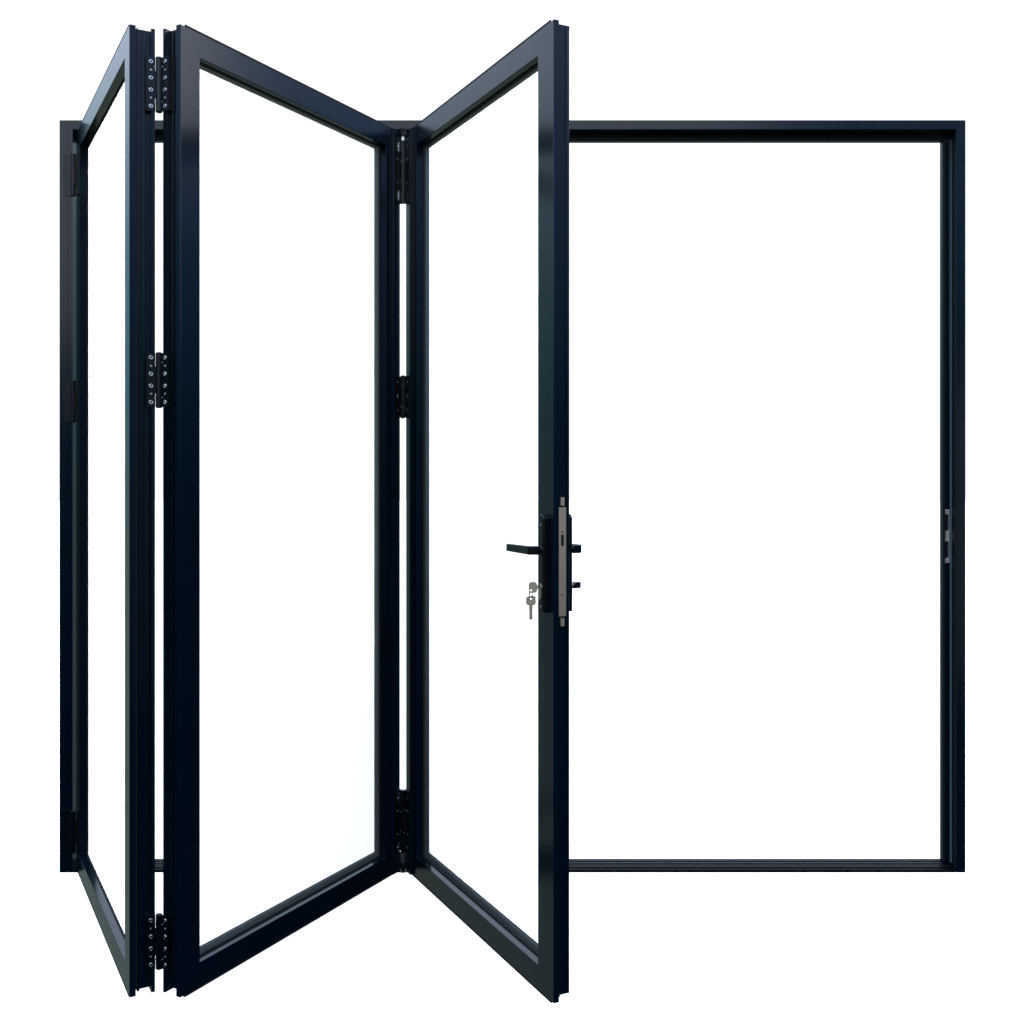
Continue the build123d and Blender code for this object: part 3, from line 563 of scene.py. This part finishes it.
def addKnuckleHighlightStrips(plan):
    # bright steel strip beside the middle knuckle: a painted highlight for the light line along the knuckle
    mesh = bmesh.new()
    for level in hingeRows["levels"]["plain"]:
        addBar(mesh, (plan["from"], plan["near"], level - plan["half"]),
               (plan["to"], plan["far"], level + plan["half"]), plan["edge"])
    finishPiece(mesh, "knuckleHighlightStrips", metals["brightSteel"], "zinc_steel", leafPlaces[0])


def addKnuckleCaps():
    # domed caps on the barrels that no carrier or guide runs through
    mesh = bmesh.new()
    half = hingeRows["plainHalf"]
    spots = [(pivots[i], level) for i in (0, 1) for level in hingeRows["levels"]["plain"]]
    spots.append((pivots[2], hingeRows["levels"]["carried"][1]))
    for (x, y), level in spots:
        for side in (-1, 1):
            addTurned(mesh, capOutline, facing((x, y, level + side * half), (0, 0, side)))
    finishPiece(mesh, "knuckleCaps", hingeCoat, "hinge_black")


addKnuckleHighlightStrips(knuckleHighlightPlan)
addKnuckleCaps()
print("hinge details done")


# lock details on the lead leaf
lockPlan = {
    "line": 860.0, "spindle": 1045.0, "thickness": 49.0, "plate": 15.0, "depth": 28.5, "edge": 885.0,
    "plateScrews": (1103.0, 915.0), "faceScrews": (1088.0, 944.0),
    "rose": [(8.7, 0), (8.7, 2.0), (9.4, 2.6), (10.4, 2.4), (11.2, 1.4), (11.4, 0), (8.7, 0)],
    "roseSteps": 32,
    "latch": {"low": 1055.6, "high": 1080.4, "half": 3.4, "from": -0.55, "to": -0.2, "edge": 0.15},
}


def addLockDetails(plan):
    outer, inner = -plan["plate"], plan["thickness"] + plan["plate"]
    plateScrews = [("small", (plan["line"], face, z), (0, side, 0))
                   for face, side in ((outer, -1), (inner, 1)) for z in plan["plateScrews"]]
    addScrewSet("backplateScrews", plateScrews, leafPlaces[2], metals["zincPlatedSteel"])
    faceScrews = [("flush", (plan["edge"], plan["depth"], z), (1, 0, 0)) for z in plan["faceScrews"]]
    addScrewSet("faceplateScrews", faceScrews, leafPlaces[2], metals["satinNickel"])
    roses = bmesh.new()
    for face, side in ((outer, -1), (inner, 1)):
        addTurned(roses, plan["rose"], facing((plan["line"], face, plan["spindle"]), (0, side, 0)),
                  steps=plan["roseSteps"])
    finishPiece(roses, "leverRoses", handleCoat, "handle_black", leafPlaces[2])
    # a thin black pad just inside the faceplate: painted shade over the latch slot, standing in for the dark
    # of the open slot
    latch = bmesh.new()
    look = plan["latch"]
    addBar(latch, (plan["edge"] + look["from"], plan["depth"] - look["half"], look["low"]),
           (plan["edge"] + look["to"], plan["depth"] + look["half"], look["high"]), look["edge"])
    finishPiece(latch, "latchPad", blackNylonAndPaintedShade, "handle_black", leafPlaces[2])


addLockDetails(lockPlan)

strikePlan = {"x": 1349.5, "face": 14.5, "levels": (950.0, 1101.0)}
addScrewSet("strikeScrews", [("small", (strikePlan["x"], strikePlan["face"], z), (0, -1, 0))
                             for z in strikePlan["levels"]], inPlace, metals["satinNickel"])
print("lock details done")


# gaskets of the outer frame and the grates over the sill's drain slots, as low and high corners
frameTrim = {
    "stopGasket": [((1337.6, 13.8, 17.0), (1343.4, 17.0, 2252.5)),
                   ((-1343.4, 13.8, 17.0), (-1337.6, 17.0, 2252.5)),
                   ((-1337.0, 13.8, 2252.6), (1337.0, 17.0, 2258.4))],
    # rubber in the frame's seal groove: a real seal, made solid and black so that it also paints the groove's
    # shade
    "grooveSealAndShade": [((1358.4, -32.7, 9.0), (1359.9, -18.3, 2271.0)),
                   ((1357.2, -28.0, 9.0), (1358.6, -23.0, 2271.0))],
    "pileStrip": [((1355.2, -6.0, 17.0), (1356.95, 8.4, 2252.5))],
    "wearStrips": [((-1336.0, 28.3, 11.3), (1336.0, 28.95, 14.4)),
                   ((-1336.0, 20.3, 8.3), (1336.0, 20.95, 10.4))],
    "edge": 0.8,
    "grates": {"along": [-565.0, 565.0], "depth": -20.0, "half": (14.6, 3.2), "levels": (1.9, 2.9),
               "bar": 1.2, "crossBars": 5, "inset": 0.4, "sink": 0.1, "edge": 0.2},
}


def addFrameTrim(plan):
    for part, material, slot in (("stopGasket", sealRubber, "powder_coat"),
                                 ("grooveSealAndShade", sealRubber, "powder_coat"),
                                 ("pileStrip", greyPile, "powder_coat"),
                                 ("wearStrips", metals["millAluminium"], "zinc_steel")):
        mesh = bmesh.new()
        for low, high in plan[part]:
            addBar(mesh, low, high, plan["edge"])
        finishPiece(mesh, part, material, slot)


def addDrainGrates(plan):
    # two long bars with cross-bars between them, a little lower
    mesh = bmesh.new()
    halfX, halfY = plan["half"]
    low, high = plan["levels"]
    depth, bar, sink, reach = plan["depth"], plan["bar"], plan["sink"], halfY - plan["inset"]
    for x in plan["along"]:
        for y in (-halfY, halfY - bar):
            addBar(mesh, (x - halfX, depth + y, low), (x + halfX, depth + y + bar, high), plan["edge"])
        for step in range(plan["crossBars"]):
            across = x - halfX + step * (2 * halfX - bar) / (plan["crossBars"] - 1)
            addBar(mesh, (across, depth - reach, low + sink), (across + bar, depth + reach, high - sink),
                   plan["edge"])
    finishPiece(mesh, "drainGrates", metals["brightSteel"], "zinc_steel")


addFrameTrim(frameTrim)
addDrainGrates(frameTrim["grates"])
print("frame trim done")


# floor, light and camera

studio = {
    "floor": "#FFFFFF", "floorGlow": 1.0, "floorRoughness": 0.9, "floorHalf": 40, "camera": 1.15,
    "rooms": {  # height, strength and tint of the light that the coat mirrors
        "front": [(0, 0.0, "#7CC7FF"), (0.44, 0.004, "#7CC7FF"), (0.5, 0.06, "#7CC7FF"),
                  (0.54, 0.16, "#7CC7FF"), (0.58, 0.3, "#82C6FF"), (0.62, 0.45, "#8CC4FF"),
                  (0.66, 0.7, "#9AC2FF"), (0.72, 1.2, "#B4D2FF"), (1, 1.7, "#C8DEFF")],
        "back": [(0, 0.18, "#DCFAF2"), (0.4, 0.24, "#DCFAF2"), (0.47, 0.27, "#D0F6F2"),
                 (0.53, 0.34, "#AAEFFF"), (0.6, 0.55, "#B4ECFF"), (0.64, 0.9, "#C8E8FF"),
                 (0.68, 1.5, "#D4E5FF"), (1, 1.7, "#DCE9FF")],
    },
    "paleWall": (-0.29, 0.957, 0.0), "turnOver": (0.25, 0.6),
    "fills": {
        "frontFill": {"place": (0.0, -6.5, 2.3), "aim": (0, 0, 1.2), "size": (3.6, 2.4), "power": 900,
                      "lights": "panes"},
        "leftFill": {"place": (-6.0, -5.0, 4.2), "aim": (-1.1, -0.4, 1.2), "size": (2, 1.6), "power": 600,
                     "lights": "panes"},
        "backFill": {"place": (0.0, 6.5, 2.3), "aim": (0, 0, 1.2), "size": (3.6, 2.4), "power": 900,
                     "lights": "panes"},
        "rightCard": {"place": (5.0, -4.2, 1.3), "aim": (0, -0.8, 1.1), "size": (4, 3), "power": 16,
                      "lights": "metals"},
        "leftCard": {"place": (-5.5, -1.5, 1.3), "aim": (-0.8, -0.8, 1.1), "size": (4, 3), "power": 24,
                     "lights": "metals"},
        "frontCard": {"place": (0.5, -6.0, 2.5), "aim": (0, 0, 1.2), "size": (4, 3), "power": 16,
                      "lights": "metals"},
        "rightWindow": {"place": (6.0, -0.6, 6.1), "aim": (-0.8, -0.6, 6.1), "size": (3.9, 3.9), "power": 95,
                        "lights": None},
        "frontWindow": {"place": (-1.6, -8.0, 4.3), "aim": (-1.6, 0, 4.3), "size": (8.8, 3.4), "power": 100,
                        "lights": None},
        "lowCard": {"place": (4.3, -6.0, 0.7), "aim": (1.4, 0, 0.7), "size": (0.9, 2.6), "power": 2.4,
                    "lights": None},
    },
}


def addStage(look):
    mesh = bmesh.new()
    bmesh.ops.create_grid(mesh, x_segments=1, y_segments=1, size=look["floorHalf"])
    data = bpy.data.meshes.new("floor")
    mesh.to_mesh(data)
    mesh.free()
    material, tree, shader = newMaterial("paleFloor", {
        "Base Color": linear(look["floor"]), "Roughness": look["floorRoughness"],
        "Emission Color": linear(look["floor"]), "Emission Strength": look["floorGlow"]})
    data.materials.append(material)
    floor = bpy.data.objects.new("floor", data)
    bpy.context.scene.collection.objects.link(floor)
    floor.visible_glossy = False  # a black coat over a white floor would lose its depth
    floor.visible_diffuse = False


def addFill(name, look):
    data = bpy.data.lights.new(name, "AREA")
    data.shape = "RECTANGLE"
    data.size, data.size_y = look["size"]
    data.energy = look["power"]
    data.use_shadow = False
    light = bpy.data.objects.new(name, data)
    light.visible_glossy = look["lights"] != "panes"  # the panes' fills stay out of the coat's reflections
    if look["lights"]:
        light.light_linking.receiver_collection = litGroups[look["lights"]]
    light.location = look["place"]
    aim = Vector(look["aim"]) - light.location
    light.rotation_euler = aim.to_track_quat("-Z", "Y").to_euler()
    bpy.context.scene.collection.objects.link(light)


def addWorld(look):
    # a bright ceiling that fades to a dark floor, paler behind the part, and plain white to the camera
    world = bpy.data.worlds.new("paleStudio")
    world.use_nodes = True
    bpy.context.scene.world = world
    tree = world.node_tree
    coords = addNode(tree, "ShaderNodeTexCoord")
    split = addNode(tree, "ShaderNodeSeparateXYZ", None, {"Vector": coords.outputs["Generated"]})
    height = addNode(tree, "ShaderNodeMapRange", {1: -1, 2: 1}, {"Value": split.outputs["Z"]})
    rooms = {}
    for room, steps in look["rooms"].items():
        ramp = addNode(tree, "ShaderNodeValToRGB", None, {"Fac": height.outputs["Result"]})
        peak = max(strength for place, strength, tint in steps)
        stops = ramp.color_ramp.elements
        while len(stops) < len(steps):
            stops.new(1)
        for stop, (place, strength, tint) in zip(stops, steps):
            stop.position = place
            stop.color = [c * strength / peak for c in linear(tint)[:3]] + [1]
        rooms[room] = addNode(tree, "ShaderNodeBackground", {"Strength": peak},
                              {"Color": ramp.outputs["Color"]})
    low, high = look["turnOver"]
    along = addNode(tree, "ShaderNodeVectorMath", {"operation": "DOT_PRODUCT", 1: look["paleWall"]},
                    {0: coords.outputs["Generated"]})
    turn = addNode(tree, "ShaderNodeMapRange", {"interpolation_type": "SMOOTHSTEP", 1: low, 2: high},
                   {"Value": along.outputs["Value"]})
    room = addNode(tree, "ShaderNodeMixShader", None,
                   {0: turn.outputs["Result"], 1: rooms["front"].outputs["Background"],
                    2: rooms["back"].outputs["Background"]})
    path = addNode(tree, "ShaderNodeLightPath")
    white = addNode(tree, "ShaderNodeBackground", {"Color": (1, 1, 1, 1), "Strength": look["camera"]})
    mix = addNode(tree, "ShaderNodeMixShader", None,
                  {0: path.outputs["Is Camera Ray"], 1: room.outputs["Shader"],
                   2: white.outputs["Background"]})
    tree.links.new(mix.outputs["Shader"], tree.nodes["World Output"].inputs["Surface"])


# the photograph's view: level, square to the frame
cameraLook = {"sensor": 36, "lens": 37.16, "shift": (0.0269, -0.0402), "place": (-0.0857, -3.267, 1.228)}


def addCamera(look):
    data = bpy.data.cameras.new("camera")
    data.sensor_width = look["sensor"]
    data.lens = look["lens"]
    data.shift_x, data.shift_y = look["shift"]
    camera = bpy.data.objects.new("camera", data)
    camera.location = look["place"]
    camera.rotation_euler = (math.pi / 2, 0, 0)
    bpy.context.scene.collection.objects.link(camera)
    bpy.context.scene.camera = camera


addStage(studio)
addWorld(studio)
for name, look in studio["fills"].items():
    addFill(name, look)
addCamera(cameraLook)
bpy.context.scene.view_settings.view_transform = "Standard"
print("stage, light and camera set")
